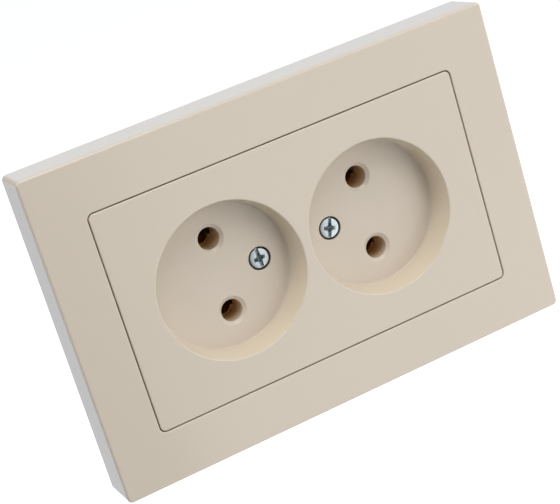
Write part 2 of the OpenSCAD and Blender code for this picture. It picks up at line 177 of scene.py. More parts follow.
def turned(profile, segments, centre=(0, 0)):
    """Loops of a profile of (radius, z) points turned round an axis."""
    return [circle_loop(radius, z, segments, centre) for radius, z in profile]


# %% [markdown]
# Holes are cut with exact booleans, as a mould's pins would leave them. The radii are part of
# the cutters, so every edge comes out rounded without a bevel afterwards. Then edges sharper
# than a set angle stay sharp, and the rest is shaded smooth with weighted normals, which keeps
# the large flat faces flat right up to the radii.

# %% Cutting and shading
def baked(piece):
    """Applies the piece's modifiers to its mesh."""
    graph = bpy.context.evaluated_depsgraph_get()
    mesh = bpy.data.meshes.new_from_object(piece.evaluated_get(graph))
    piece.modifiers.clear()
    old = piece.data
    piece.data = mesh
    bpy.data.meshes.remove(old)
    return piece


def combine(piece, others, operation):
    """Unions or subtracts other objects, which are used up."""
    for other in others:
        modifier = piece.modifiers.new(operation.lower(), "BOOLEAN")
        modifier.operation = operation
        modifier.solver = "EXACT"
        modifier.object = other
        baked(piece)
        bpy.data.objects.remove(other)
    return piece


def shaded(piece, sharp_over=32):
    """Smooth shading with sharp edges over an angle, and flat faces kept flat."""
    piece.data.shade_smooth()
    piece.data.set_sharp_from_angle(angle=math.radians(sharp_over))
    weighted = piece.modifiers.new("weighted", "WEIGHTED_NORMAL")
    weighted.keep_sharp = True
    weighted.weight = 60
    return piece


def cleaned(piece, gap=0.002):
    """Merges the doubled points that a boolean can leave."""
    bm = bmesh.new()
    bm.from_mesh(piece.data)
    bmesh.ops.remove_doubles(bm, verts=bm.verts, dist=gap * MM)
    bmesh.ops.dissolve_degenerate(bm, edges=bm.edges, dist=gap * MM)
    bm.to_mesh(piece.data)
    bm.free()
    return piece


# %% [markdown]
# ## The outer frame
#
# The frame is one injection moulding: a flat border with a small radius round its front edge,
# a window for the cover with a ledge inside it, and a hollow back stiffened by ribs. One
# closed profile carried round the rectangle gives the whole ring. All sizes in these cells
# are in millimetres.

# %% Outer frame
COVER_GAP = 0.3
WINDOW_W, WINDOW_H = COVER_W + 2 * COVER_GAP, COVER_H + 2 * COVER_GAP
WINDOW_CORNER = 1.6
FRAME_CORNER = 1.3
FRAME_EDGE = 0.65
LIP = 0.22
WALL = 2.2
LEDGE_Z, LEDGE_T, LEDGE_W = FRAME_T - 3.5, 1.6, 2.2
COLLAR_T, COLLAR_END = 2.0, 4.6
BACK_RADIUS = 0.25
RIB_HALF, RIB_END = 0.6, 4.2
RIB_ROWS, RIB_COLUMNS = (-18, 0, 18), (-42, -14, 14, 42)
PEG_X, PEG_Y, PEG_HALF_W, PEG_HALF_H, PEG_END = 30, 32.6, 2.7, 0.8, 0.2


def frame_ring():
    """The frame's closed profile as loops: outer wall, front face, window, collar, hollow."""
    half_w, half_h = FRAME_W / 2, FRAME_H / 2
    window_w, window_h = WINDOW_W / 2, WINDOW_H / 2
    inner = FRAME_T - WALL
    loops = []
    for u, z in arc((-BACK_RADIUS, BACK_RADIUS), BACK_RADIUS, -90, 0, 3):
        loops.append(rounded_loop(half_w + u, half_h + u, FRAME_CORNER + u, z))
    for u, z in arc((-FRAME_EDGE, FRAME_T - FRAME_EDGE), FRAME_EDGE, 0, 90, 8):
        loops.append(rounded_loop(half_w + u, half_h + u, FRAME_CORNER + u, z))
    for u, z in arc((LIP, FRAME_T - LIP), LIP, 90, 180, 4):
        loops.append(rounded_loop(window_w + u, window_h + u, WINDOW_CORNER + u, z))
    ledge_w, ledge_h = window_w - LEDGE_W, window_h - LEDGE_W
    loops.append(rounded_loop(window_w, window_h, WINDOW_CORNER, LEDGE_Z))
    loops.append(rounded_loop(ledge_w, ledge_h, 1, LEDGE_Z))
    loops.append(rounded_loop(ledge_w, ledge_h, 1, LEDGE_Z - LEDGE_T))
    loops.append(rounded_loop(window_w, window_h, WINDOW_CORNER, LEDGE_Z - LEDGE_T))
    loops.append(rounded_loop(window_w, window_h, WINDOW_CORNER, COLLAR_END))
    loops.append(rounded_loop(window_w + COLLAR_T, window_h + COLLAR_T, 2, COLLAR_END))
    loops.append(rounded_loop(window_w + COLLAR_T, window_h + COLLAR_T, 2, inner))
    loops.append(rounded_loop(half_w - WALL, half_h - WALL, 1, inner))
    loops.append(rounded_loop(half_w - WALL, half_h - WALL, 1, 0))
    return loops


def bar(x0, x1, y0, y1, z0, z1, ease=0.15):
    """A rib or peg with eased corners and ends, as loops."""
    half_w, half_h = (x1 - x0) / 2, (y1 - y0) / 2
    cx, cy = (x0 + x1) / 2, (y0 + y1) / 2
    rows = [(ease, z0), (0, z0 + ease), (0, z1 - ease), (ease, z1)]
    return [
        [(x + cx, y + cy, z) for x, y, z in rounded_loop(half_w - u, half_h - u, ease, at, 2)]
        for u, at in rows
    ]


def frame_ribs():
    """The stiffening ribs and the four pegs behind the border."""
    high = FRAME_T - WALL + 0.3
    ribs = []
    for side in SIDES:
        ends = sorted((side * (WINDOW_W / 2 + 1), side * (FRAME_W / 2 - 1)))
        for y in RIB_ROWS:
            ribs.append(bar(*ends, y - RIB_HALF, y + RIB_HALF, RIB_END, high))
        ends = sorted((side * (WINDOW_H / 2 + 1), side * (FRAME_H / 2 - 1)))
        for x in RIB_COLUMNS:
            ribs.append(bar(x - RIB_HALF, x + RIB_HALF, *ends, RIB_END, high))
        for y in (-PEG_Y, PEG_Y):
            across = (side * PEG_X - PEG_HALF_W, side * PEG_X + PEG_HALF_W)
            ribs.append(bar(*across, y - PEG_HALF_H, y + PEG_HALF_H, PEG_END, high))
    return ribs


outer_frame = solid("frame_moulding", frame_ring(), closed=True)
ribs = solid("frame_ribs_and_pegs", *frame_ribs())
for piece in (outer_frame, ribs):
    shaded(piece)
    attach(piece, "mechanism")
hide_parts("outer_frame")
print("outer frame:", len(outer_frame.data.polygons), "faces")

# %% [markdown]
# ## The front cover
#
# The cover is the piece that people see. Its plate stands in the window with a hairline gap, and
# each recess is a cup with a slightly tapered wall, so that the moulding leaves its tool. The
# edges are all small: three tenths of a millimetre round the plate, and under half a millimetre
# at the mouth of a cup and where its wall meets the floor.

# %% Front cover
PLATE_T, SKIRT = 2.2, 1.6
COVER_CORNER, COVER_EDGE = 1.3, 0.3
RECESS_R, RECESS_LOW_R = 19.25, 18.4
RECESS_LIP, RECESS_FILLET = 0.35, 0.45
RECESS_DEPTH, CUP_WALL = 7.6, 1.8
FLOOR_Z = FRAME_T - RECESS_DEPTH
CUP_Z, CUP_R = FLOOR_Z - CUP_WALL, RECESS_R + CUP_WALL
PIN_R, LEAD_IN_R, LEAD_IN = 2.8, 3.6, 0.6
TUNNEL_R, BOSS_R, BOSS_END = 4.3, 4.4, 1.25
BRACE_Y, BRACE_HALF = 14, 0.6
COVER_HEAD_H = 1.9
SCREW_WELL_R, SCREW_HOLE_R, SCREW_SEAT = 2.95, 1.75, SCREW_TOP - COVER_HEAD_H
ROUND = 128


def cover_plate():
    """Plate and skirt: a thin box open at the back, with its front edge rounded."""
    half_w, half_h = COVER_W / 2, COVER_H / 2
    back, inner = LEDGE_Z + 0.05, FRAME_T - PLATE_T
    loops = [rounded_loop(half_w - SKIRT, half_h - SKIRT, 1, inner)]
    loops.append(rounded_loop(half_w - SKIRT, half_h - SKIRT, 1, back))
    loops.append(rounded_loop(half_w, half_h, COVER_CORNER, back))
    for u, z in arc((-COVER_EDGE, FRAME_T - COVER_EDGE), COVER_EDGE, 0, 90, 4):
        loops.append(rounded_loop(half_w + u, half_h + u, COVER_CORNER + u, z))
    return loops


def recess_profile():
    """What is cut away for a recess: flared lip, tapered wall, fillet and flat floor."""
    above = FRAME_T + 1
    lip = arc((RECESS_R + RECESS_LIP, FRAME_T - RECESS_LIP), RECESS_LIP, 90, 180, 5)
    fillet = arc((RECESS_LOW_R - RECESS_FILLET, FLOOR_Z + RECESS_FILLET), RECESS_FILLET, 0, -90, 8)
    return [(RECESS_R + RECESS_LIP, above), *lip, *fillet]


def pin_hole_profile():
    """What is cut away for a pin: a rounded countersink and the bore through the tunnel."""
    ease = arc((LEAD_IN_R + 0.15, FLOOR_Z - 0.15), 0.15, 90, 135, 2)
    bore = [(PIN_R, FLOOR_Z - LEAD_IN), (PIN_R, TUNNEL_END - 1)]
    return [(LEAD_IN_R + 0.15, FLOOR_Z + 1), *ease, *bore]


def screw_well_profile():
    """What is cut away for a cover screw: a well for the head and a hole for the shank."""
    ease = arc((SCREW_WELL_R + 0.12, FLOOR_Z - 0.12), 0.12, 90, 180, 2)
    well = [(SCREW_WELL_R + 0.12, FLOOR_Z + 1), *ease, (SCREW_WELL_R, SCREW_SEAT)]
    return [*well, (SCREW_HOLE_R, SCREW_SEAT), (SCREW_HOLE_R, 0)]


def tunnel_profile():
    """Outside of the insulating tunnel behind a pin hole."""
    end = arc((TUNNEL_R - 0.3, TUNNEL_END + 0.3), 0.3, -90, 0, 3)
    return [*end, (TUNNEL_R, FLOOR_Z - 0.3)]


def cup_profile():
    """Outside of a recess's cup, seen from the back."""
    return [*arc((CUP_R - 0.8, CUP_Z + 0.8), 0.8, -90, 0, 5), (CUP_R, FRAME_T - 0.5)]


def brace(side, y):
    """A rib from the middle of a cup to the end of the plate."""
    ends = sorted((side * SOCKET_X, side * (COVER_W / 2 - 1)))
    return solid("brace", bar(*ends, y - BRACE_HALF, y + BRACE_HALF, LEDGE_Z + 1, FRAME_T - 1))


def build_cover():
    """The cover as one moulding: plate, cups, ribs, tunnels and bosses, less what is cut."""
    cover = solid("cover_moulding", cover_plate())
    pin_places = [(side * SOCKET_X, row * PIN_Y) for side in SIDES for row in SIDES]
    screw_places = [(side * SCREW_X, 0) for side in SIDES]
    cups = [solid("cup", turned(cup_profile(), ROUND, (side * SOCKET_X, 0))) for side in SIDES]
    braces = [brace(side, y) for side in SIDES for y in (-BRACE_Y, BRACE_Y)]
    combine(cover, cups + braces, "UNION")
    cuts = [solid("cut", turned(recess_profile(), ROUND, (side * SOCKET_X, 0))) for side in SIDES]
    combine(cover, cuts, "DIFFERENCE")
    tunnels = [solid("tunnel", turned(tunnel_profile(), 64, place)) for place in pin_places]
    bosses = [
        solid("boss", turned([(BOSS_R, BOSS_END), (BOSS_R, FLOOR_Z - 0.3)], 64, place))
        for place in screw_places
    ]
    combine(cover, tunnels + bosses, "UNION")
    holes = [solid("hole", turned(pin_hole_profile(), 64, place)) for place in pin_places]
    wells = [solid("well", turned(screw_well_profile(), 64, place)) for place in screw_places]
    combine(cover, holes + wells, "DIFFERENCE")
    return shaded(cleaned(cover))


cover = build_cover()
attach(cover, "cover")
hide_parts("front_cover")
print("cover:", len(cover.data.polygons), "faces")

# %% [markdown]
# ## The cover screws
#
# M3 machine screws with a low cheese head and a combined drive: a slot right across and a
# cross recess in its middle. The thread is a real helix: a cylinder's skin whose radius follows
# the thread's trapezium as the angle and the height change together.

# %% Cover screws
# head height, shank radius and pitch of each size of screw
COVER_SIZE = (COVER_HEAD_H, 1.5, 0.5)
TERMINAL_SIZE = (1.9, 1.75, 0.6)
CLAW_SIZE = (1.2, 1.75, 0.6)
SLOT_W, SLOT_DEPTH = 0.92, 0.6
CROSS_ARM, CROSS_W, CROSS_DEPTH, CROSS_PIT = 1.6, 0.98, 1.05, 0.95
CREST, FLANK = 1.6, 4.4


def thread_loops(top, bottom, radius, pitch, depth, segments=32, per_pitch=6):
    """A threaded shank as loops from the bottom up, with a chamfered point."""
    rows = round((top - bottom) / pitch * per_pitch)
    loops = [circle_loop(radius - depth - 0.15, bottom, segments)]
    for row in range(rows + 1):
        z = bottom + 0.2 + (top - bottom - 0.2) * row / rows
        loop = []
        for i in range(segments):
            phase = (z / pitch - i / segments) % 1
            crest = min(1, max(0, CREST - abs(phase - 0.5) * FLANK))
            taper = min(1, (z - bottom) / (1.2 * pitch))
            r = radius - depth + depth * crest * taper
            angle = 2 * math.pi * i / segments
            loop.append((r * math.cos(angle), r * math.sin(angle), z))
        loops.append(loop)
    return loops


def head_profile(radius, seat, top, crown=0.07, edge=0.22):
    """A cheese head: sharp seat, straight side, rounded rim and a slightly crowned top."""
    rim = arc((radius - edge, top - crown - edge), edge, 0, 80, 4)
    dome = [(radius * share, top - crown * share ** 2) for share in (0.7, 0.4, 0.05)]
    return [(radius - 0.05, seat), (radius, seat + 0.06), *rim, *dome]


def slot_cutter(top, half_length, width, depth):
    """A slot's cutter with a slightly rounded floor."""
    half = width / 2
    rows = [(half - 0.12, top - depth), (half, top - depth + 0.12), (half, top + 1)]
    return [
        [(-u, -half_length, z), (u, -half_length, z), (u, half_length, z), (-u, half_length, z)]
        for u, z in rows
    ]


def arm_cutter(top, turn, arm, width, depth):
    """One pair of arms of the cross: it narrows and shortens towards the bottom."""
    rows = [(arm * 0.45, width * 0.32, top - depth), (arm, width / 2, top + 0.02),
            (arm, width / 2, top + 1)]
    c, s = math.cos(math.radians(turn)), math.sin(math.radians(turn))
    loops = []
    for half_length, half_width, z in rows:
        corners = ((-1, -1), (1, -1), (1, 1), (-1, 1))
        flat = [(a * half_length, b * half_width) for a, b in corners]
        loops.append([(x * c - y * s, x * s + y * c, z) for x, y in flat])
    return loops


# %% [markdown]
# A screw is a turned head, less its drive, joined to its thread. It is made on its own axis
# and then stood where the CAD's screw stands, with its slot at an angle of its own.

# %% Heads joined to threads
def build_screw(name, head_r, top, head_h, shank_r, bottom, pitch, cross):
    """A machine screw on its own axis: head, drive and thread."""
    seat = top - head_h
    head = solid(name, turned(head_profile(head_r, seat, top), 64))
    cuts = [solid("slot", slot_cutter(top, head_r + 1, SLOT_W, SLOT_DEPTH))]
    if cross:
        cuts += [
            solid("arm", arm_cutter(top, turn, CROSS_ARM, CROSS_W, CROSS_DEPTH))
            for turn in (0, 90)
        ]
        pit = [(0.3, top - CROSS_DEPTH - 0.25), (0.55, top - CROSS_DEPTH), (CROSS_PIT, top + 0.02),
               (CROSS_PIT, top + 1)]
        cuts.append(solid("pit", turned(pit, 32)))
    combine(head, cuts, "DIFFERENCE")
    shank = solid("shank", thread_loops(seat + 0.1, bottom, shank_r, pitch, shank_r * 0.18))
    combine(head, [shank], "UNION")
    return shaded(cleaned(head))


def place(piece, x, y, turn):
    """Turns a piece about its own axis and puts it on the wall at x, y."""
    spin = Matrix.Rotation(math.radians(-turn), 4, "Y")
    piece.data.transform(Matrix.Translation(on_wall(x, y, 0)) @ spin)
    return piece


def screw_for(node, turn, head_h, shank_r, pitch, cross=True):
    """Replaces a CAD screw with a threaded one of the same box, turned to its slot's angle."""
    low, high = node_box(node)
    head_r = (high.x - low.x) / 2
    screw = build_screw(f"{node}_piece", head_r, high.z, head_h, shank_r, low.z, pitch, cross)
    place(screw, (low.x + high.x) / 2, (low.y + high.y) / 2, turn)
    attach(screw, node)
    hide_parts(node)
    return screw


cover_screws = [
    screw_for("cover_screw_left", 4, *COVER_SIZE),
    screw_for("cover_screw_right", -17, *COVER_SIZE),
]
print("cover screws:", len(cover_screws[0].data.polygons), "faces each")

# %% [markdown]
# The same function makes the terminal screws, which are M3.5 with a combined drive, and the claw
# screws, which have a flat head with a slot only. No two slots stop at the same angle.

# %% Terminal and claw screws
TERMINALS = [f"{pole}_{hand}" for pole in ("line", "neutral") for hand in ("left", "right")]
TERMINAL_TURNS = (12, -31, 48, 5)
hidden_screws = [
    screw_for(f"terminal_screw_{name}", turn, *TERMINAL_SIZE)
    for name, turn in zip(TERMINALS, TERMINAL_TURNS)
]
for hand, turn in (("left", 24), ("right", -8)):
    hidden_screws.append(screw_for(f"claw_screw_{hand}", turn, *CLAW_SIZE, cross=False))
print("hidden screws:", len(hidden_screws))

# %% [markdown]
# ## The contacts
#
# What grips a pin is a strip of brass folded into a U: a flat foot that is riveted to the busbar,
# and two leaves that turn from flat to hollow, so that they hug the round pin, and flare at the
# mouth to let it in. The CAD needs only flat leaves. Here each leaf is a stack of sections, and
# every section is a share of the way from a straight strip to an arc. The mouth's curved edge is
# what the light finds when one looks into a pin hole.

# %% Contacts
LEAF_T, LEAF_SPREAD, FOOT_T = 0.6, 70, 0.7
MOUTH_GAP = 0.35
LEAF_ROWS = ((0.0, 2.2, 0.0), (1.6, 2.2, 0.0), (2.4, 2.17, 0.35), (3.2, 2.13, 0.75),
             (4.2, 2.1, 1.0), (5.6, 2.03, 1.0), (7.2, 1.95, 1.0), (7.9, 1.98, 1.0))


def leaf_section(inside, hollow, half_w, z, sign, ease=0.0):
    """One section of a leaf: a strip at `inside` from the axis, bent by `hollow` into an arc."""
    def row(radius, spread):
        points = []
        for i in range(9):
            share = -1 + i / 4
            angle = math.radians(spread * share)
            flat = (half_w * share, radius)
            bent = (radius * math.sin(angle), radius * math.cos(angle))
            x, y = (f + (b - f) * hollow for f, b in zip(flat, bent))
            points.append((x, sign * y, z))
        return points
    inner = row(inside + ease, LEAF_SPREAD)
    outer = row(inside + LEAF_T - ease, LEAF_SPREAD)
    return (inner + outer[::-1])[::sign]


def build_contact(name, width, height):
    """A contact on its own axis, standing on z = 0."""
    half_w = width / 2
    rows = [*LEAF_ROWS, (height - 0.8, 2.14, 1.0), (height - 0.15, 2.36, 1.0)]
    leaves = []
    for sign in SIDES:
        loops = [leaf_section(inside, hollow, half_w, z, sign) for z, inside, hollow in rows]
        loops.append(leaf_section(2.4, 1.0, half_w, height, sign, ease=0.14))
        leaves.append(solid("leaf", loops))
    half_h = LEAF_ROWS[0][1] + LEAF_T
    foot = solid(name, bar(-half_w, half_w, -half_h, half_h, 0, FOOT_T, ease=0.08))
    combine(foot, leaves, "UNION")
    hole = solid("hole", turned([(0.92, -1), (0.92, FOOT_T + 1)], 32))
    combine(foot, [hole], "DIFFERENCE")
    return shaded(cleaned(foot))


contacts = []
for pole in ("line", "neutral"):
    for hand in ("left", "right"):
        node = f"contact_clip_{pole}_{hand}"
        low, high = node_box(node)
        contact = build_contact(f"{node}_piece", high.x - low.x, TUNNEL_END - MOUTH_GAP - low.z)
        centre = on_wall((low.x + high.x) / 2, (low.y + high.y) / 2, low.z)
        contact.data.transform(Matrix.Translation(centre))
        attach(contact, "mechanism")
        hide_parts(node)
        contacts.append(contact)
print("contacts:", len(contacts), "with", len(contacts[0].data.polygons), "faces each")

# %% [markdown]
# ## Pieces that keep their CAD shape
#
# Stamped and moulded pieces behind the cover are right as the CAD made them, but its edges are
# perfectly sharp, and nothing real is. Three modifiers ease them without touching the mesh:
# weld the split points, dissolve the triangles of each flat face, and bevel what is left by
# about a tenth of a millimetre.

# %% Ease the CAD edges
def eased(node, width):
    """Welds, dissolves and bevels a CAD node by modifiers."""
    node.data.shade_smooth()
    weld = node.modifiers.new("weld", "WELD")
    weld.merge_threshold = 0.001 * MM
    flat = node.modifiers.new("flat", "DECIMATE")
    flat.decimate_type = "DISSOLVE"
    flat.angle_limit = math.radians(1)
    bevel = node.modifiers.new("ease", "BEVEL")
    bevel.width = width * MM
    bevel.segments = 2
    bevel.limit_method = "ANGLE"
    bevel.angle_limit = math.radians(35)
    bevel.harden_normals = True
    return node


EASE = {"yoke": 0.12, "socket_base": 0.3, "contact_retainer": 0.2}
kept = [node for name, node in nodes.items() if not node.hide_render]
for node in kept:
    eased(node, EASE.get(node.name, 0.08))
print("CAD nodes kept:", len(kept))

# %% [markdown]
# ## Writing materials as expressions
#
# `Wire` stands for one output socket. Sums and products of wires add the Math nodes that they
# need, so a formula reads like a formula. Colours are mixed with Mix nodes, because a Math node
# would turn them grey. Every other node comes from `Paint.add`: its type, its settings, and the
# values or links of its sockets.

# %% Wires
class Wire:
    """One output socket that can be used in sums."""

    def __init__(self, paint, socket):
        self.paint = paint
        self.socket = socket

    def __add__(self, other):
        return self.paint.maths("ADD", self, other)

    def __radd__(self, other):
        return self.paint.maths("ADD", other, self)

    def __sub__(self, other):
        return self.paint.maths("SUBTRACT", self, other)

    def __rsub__(self, other):
        return self.paint.maths("SUBTRACT", other, self)

    def __mul__(self, other):
        return self.paint.maths("MULTIPLY", self, other)

    def __rmul__(self, other):
        return self.paint.maths("MULTIPLY", other, self)


# %% [markdown]
# `Paint` is one material. Its `place` is the point on the piece in the row frame, in metres.
# The masks `near`, `ring`, `pocket` and `below` take millimetres in the wall's own axes.

# %% Paints
class Paint:
    """A material and the nodes that make its finish."""

    def __init__(self, name):
        self.material = bpy.data.materials.new(name)
        self.material.use_nodes = True
        self.tree = self.material.node_tree
        self.tree.nodes.clear()
        self.place = self.add("ShaderNodeTexCoord", out="Object")

    def add(self, kind, settings=None, inputs=None, out=0):
        """Any node: its settings first, then its sockets; gives the output that is asked for."""
        node = self.tree.nodes.new(kind)
        for name, value in (settings or {}).items():
            if name == "stops":
                self.set_stops(node.color_ramp, value)
            else:
                setattr(node, name, value)
        for name, value in (inputs or {}).items():
            if isinstance(value, Wire):
                self.tree.links.new(value.socket, node.inputs[name])
            else:
                node.inputs[name].default_value = value
        return Wire(self, node.outputs[out]) if node.outputs else node

    def set_stops(self, ramp, stops):
        while len(ramp.elements) < len(stops):
            ramp.elements.new(0.5)
        for element, (position, colour) in zip(ramp.elements, stops):
            element.position = position
            element.color = colour

    def maths(self, operation, first, second):
        return self.add("ShaderNodeMath", {"operation": operation}, {0: first, 1: second})

    def mix(self, share, first, second):
        """A colour between two colours."""
        return self.add("ShaderNodeMix", {"data_type": "RGBA"}, {0: share, 6: first, 7: second}, 2)

    def stretched(self, scale):
        """The place on the piece, with each axis multiplied."""
        return self.add("ShaderNodeVectorMath", {"operation": "MULTIPLY"},
                        {0: self.place, 1: scale})

    def noise(self, size, detail=3, where=None, roughness=0.5):
        """Soft noise from 0 to 1 whose grains are about `size` millimetres."""
        where = where or self.place
        inputs = {"Vector": where, "Scale": 1 / (size * MM), "Detail": detail,
                  "Roughness": roughness}
        return self.add("ShaderNodeTexNoise", {}, inputs)

    def part(self, axis):
        """One coordinate of the place on the piece."""
        return self.add("ShaderNodeSeparateXYZ", {}, {"Vector": self.place}, out=axis)

    def near(self, x, y, radius):
        """1 within a radius of the places at plus and minus x and y on the wall, 0 outside."""
        across = self.maths("ABSOLUTE", self.part("X"), 0.0) - x * MM
        upward = self.maths("ABSOLUTE", self.part("Z"), 0.0) - y * MM
        edge = [(r * MM) ** 2 for r in (radius, radius + 0.1)]
        return 1 - self.ramp(across * across + upward * upward, *edge)

    def ring(self, x, inner, outer):
        """0 within the inner radius of the places at plus and minus x, 1 outside the outer."""
        across = self.maths("ABSOLUTE", self.part("X"), 0.0) - x * MM
        upward = self.part("Z")
        edge = [(r * MM) ** 2 for r in (inner, outer)]
        return self.ramp(across * across + upward * upward, *edge)

    def pocket(self, bottom):
        """1 between a height and the mouth of a recess, 0 on the front face and under it."""
        return (1 - self.below(bottom + 0.3, bottom)) * self.below(FRAME_T - 0.1, FRAME_T - 0.4)

    def below(self, top, bottom):
        """0 above one height over the wall and 1 under another."""
        return self.ramp(self.part("Y"), -top * MM, -bottom * MM)

    def ramp(self, value, low, high):
        """0 up to low and 1 from high on, straight in between."""
        return self.add("ShaderNodeMapRange", {"clamp": True},
                        {"Value": value, "From Min": low, "From Max": high})

    def bump(self, height, depth):
        """Normals for a height of 0 to 1 that stands for `depth` millimetres."""
        return self.add("ShaderNodeBump", {}, {"Height": height, "Distance": depth * MM,
                                               "Strength": 1.0})

    def surface(self, inputs):
        shader = self.add("ShaderNodeBsdfPrincipled", {}, inputs)
        self.add("ShaderNodeOutputMaterial", {}, {"Surface": shader})
        return self.material


def colour(red, green, blue):
    """A display colour, 0 to 255, as the linear colour that nodes take."""
    def linear(value):
        value /= 255
        return value / 12.92 if value <= 0.04045 else ((value + 0.055) / 1.055) ** 2.4
    return (linear(red), linear(green), linear(blue), 1.0)


# %% [markdown]
# ## Moulded ivory
#
# Both mouldings are the same warm ivory, but not the same finish: the frame comes from a
# polished tool and mirrors the lamp with a soft edge, and the cover's tool was left satin.
# Under a lens neither is perfect: a faint orange peel in the skin, and a colour that wanders by
# a hair with the flow of the plastic. Light that enters a thin wall comes out again a little
# warmer. Real scattering inside would cost much and not survive an export, so that light is
# painted into the cover's colour by masks of place and depth: a painted glow, lighter and a little
# warmer on the recess walls and warmer still down the pin holes, and painted shade with a little
# grime down the screws' wells.

# %% Ivory plastics
def paint_glow_and_shade(paint, base):
    """Painted glow of scattered light in the pin holes and on the recess walls; painted shade in
    the wells.
    """
    # painted warm glow down the pin holes, for light scattered in the plastic
    painted_glow_in_bores = paint.near(SOCKET_X, PIN_Y, PIN_R + 0.3) * paint.below(FLOOR_Z - 0.6, FLOOR_Z - 4.5)
    wells = paint.near(SCREW_X, 0, SCREW_WELL_R + 0.1) * paint.below(FLOOR_Z - 0.1, FLOOR_Z - 0.4)
    base = paint.mix(painted_glow_in_bores, base, colour(214, 176, 128))
    # painted glow on the recess walls: lighter and a little warmer, for light scattered in the
    # plastic
    wall = paint.ring(SOCKET_X, RECESS_LOW_R - 0.2, RECESS_LOW_R) * paint.pocket(FLOOR_Z + 0.4)
    base = paint.mix(wall * 0.6, base, colour(228, 215, 190))
    # painted shade, with a little grime, down the screws' wells
    return paint.mix(wells * 0.85, base, colour(84, 74, 60))


def ivory(name, tone, gloss, peel_size, peel_depth, holes=False):
    paint = Paint(name)
    flow = paint.noise(34, detail=1)
    grain = paint.noise(0.35, detail=1)
    deep = tuple(channel * shade for channel, shade in zip(tone, (0.985, 0.98, 0.97, 1)))
    base = paint.mix(flow * 0.6 + grain * 0.1, tone, deep)
    # painted glow in the pin holes and on the recess walls, and painted shade in the screws' wells
    if holes:
        base = paint_glow_and_shade(paint, base)
    peel = paint.noise(peel_size, detail=2)
    return paint.surface({
        "Base Color": base,
        "Roughness": gloss + flow * 0.03,
        "IOR": 1.5,
        "Normal": paint.bump(peel, peel_depth),
    })


IVORY = colour(216, 204, 187)
frame_ivory = ivory("frame_ivory_gloss", IVORY, 0.11, 2.2, 0.0006)
# the cover's finish carries painted glow and painted shade in its holes, walls and wells
cover_ivory = ivory("cover_ivory_satin", IVORY, 0.19, 2.0, 0.0004, holes=True)
print("ivory finishes:", frame_ivory.name, "and", cover_ivory.name)

# %% [markdown]
# ## Metals
#
# Bright zinc plate is bluish and nearly mirror-like, with fine turning marks. The bottoms of the
# cover screws' drives are painted darker, as painted shade with a little oil in them: the mask is
# the depth below the head's face, kept to the middle of the head. Galvanised sheet shows large
# crystals, each tilted a little differently, so they flash one by one. Contact brass is rolled
# strip: long fine lines, and a brown bloom where hands and heat have been.

# %% Metals
def painted_drive_shade(paint, face, axis_x):
    """Painted shade: 1 at the bottom of the drives of the two screws at plus and minus axis_x, 0
    elsewhere.
    """
    sunk = paint.below(face - 0.12, face - 0.6)
    head = 1 - paint.below(face - 1.7, face - 1.8)
    return paint.near(axis_x, 0, 2.25) * sunk * head


def zinc_plate(name, drives=None):
    paint = Paint(name)
    cloud = paint.noise(0.9, detail=4)
    scratches = paint.noise(0.12, detail=2, where=paint.stretched((1.0, 1.0, 0.06)))
    base = paint.mix(cloud, colour(196, 208, 214), colour(222, 230, 232))
    if drives:
        # painted shade, with a little oil, at the bottom of the cover screws' drives
        base = paint.mix(painted_drive_shade(paint, *drives) * 0.75, base, colour(78, 96, 100))
    return paint.surface({
        "Base Color": base,
        "Metallic": 1.0,
        "Roughness": 0.3 + cloud * 0.14 + scratches * 0.1,
        "Normal": paint.bump(scratches, 0.002),
    })


def galvanised_sheet(name):
    paint = Paint(name)
    warp = paint.noise(3, detail=2)
    crystals = paint.add("ShaderNodeTexVoronoi", {"feature": "F1"},
                         {"Vector": paint.place, "Scale": 1 / (4.5 * MM)}, out="Color")
    spangle = paint.add("ShaderNodeSeparateColor", {}, {"Color": crystals}, out="Red")
    base = paint.mix(spangle * 0.7 + warp * 0.3, colour(158, 163, 168), colour(199, 203, 206))
    return paint.surface({
        "Base Color": base,
        "Metallic": 1.0,
        "Roughness": 0.3 + spangle * 0.16 + warp * 0.08,
        "Normal": paint.bump(paint.noise(0.5, detail=3), 0.003),
    })


def spring_steel(name):
    paint = Paint(name)
    lines = paint.noise(0.15, detail=3, where=paint.stretched((0.1, 1.0, 1.0)))
    base = paint.mix(lines, colour(110, 112, 114), colour(160, 163, 166))
    return paint.surface({
        "Base Color": base,
        "Metallic": 1.0,
        "Roughness": 0.3 + lines * 0.15,
        "Normal": paint.bump(lines, 0.002),
    })


def contact_brass(name):
    paint = Paint(name)
    lines = paint.noise(0.2, detail=3, where=paint.stretched((0.08, 1.0, 1.0)))
    bloom = paint.ramp(paint.noise(5, detail=4), 0.45, 0.75)
    base = paint.mix(bloom * 0.7, colour(232, 190, 116), colour(184, 132, 70))
    return paint.surface({
        "Base Color": base,
        "Metallic": 1.0,
        "Roughness": 0.32 + lines * 0.12 + bloom * 0.15,
        "Normal": paint.bump(lines, 0.002),
    })


# %% [markdown]
# ## The insulating base
#
# The base and its lid are pressed from a filled thermoset: matt, off-white, faintly speckled by
# the filler, and a little porous where the skin has been rubbed.

# %% Insulator
def thermoset(name):
    paint = Paint(name)
    speckle = paint.ramp(paint.noise(0.3, detail=2), 0.58, 0.7)
    cloud = paint.noise(14, detail=3)
    body = paint.mix(cloud, colour(228, 225, 214), colour(214, 209, 196))
    base = paint.mix(speckle * 0.45, body, colour(176, 168, 152))
    pores = paint.noise(0.45, detail=4)
    return paint.surface({
        "Base Color": base,
        "Roughness": 0.55 + cloud * 0.12,
        "Normal": paint.bump(pores, 0.02),
    })


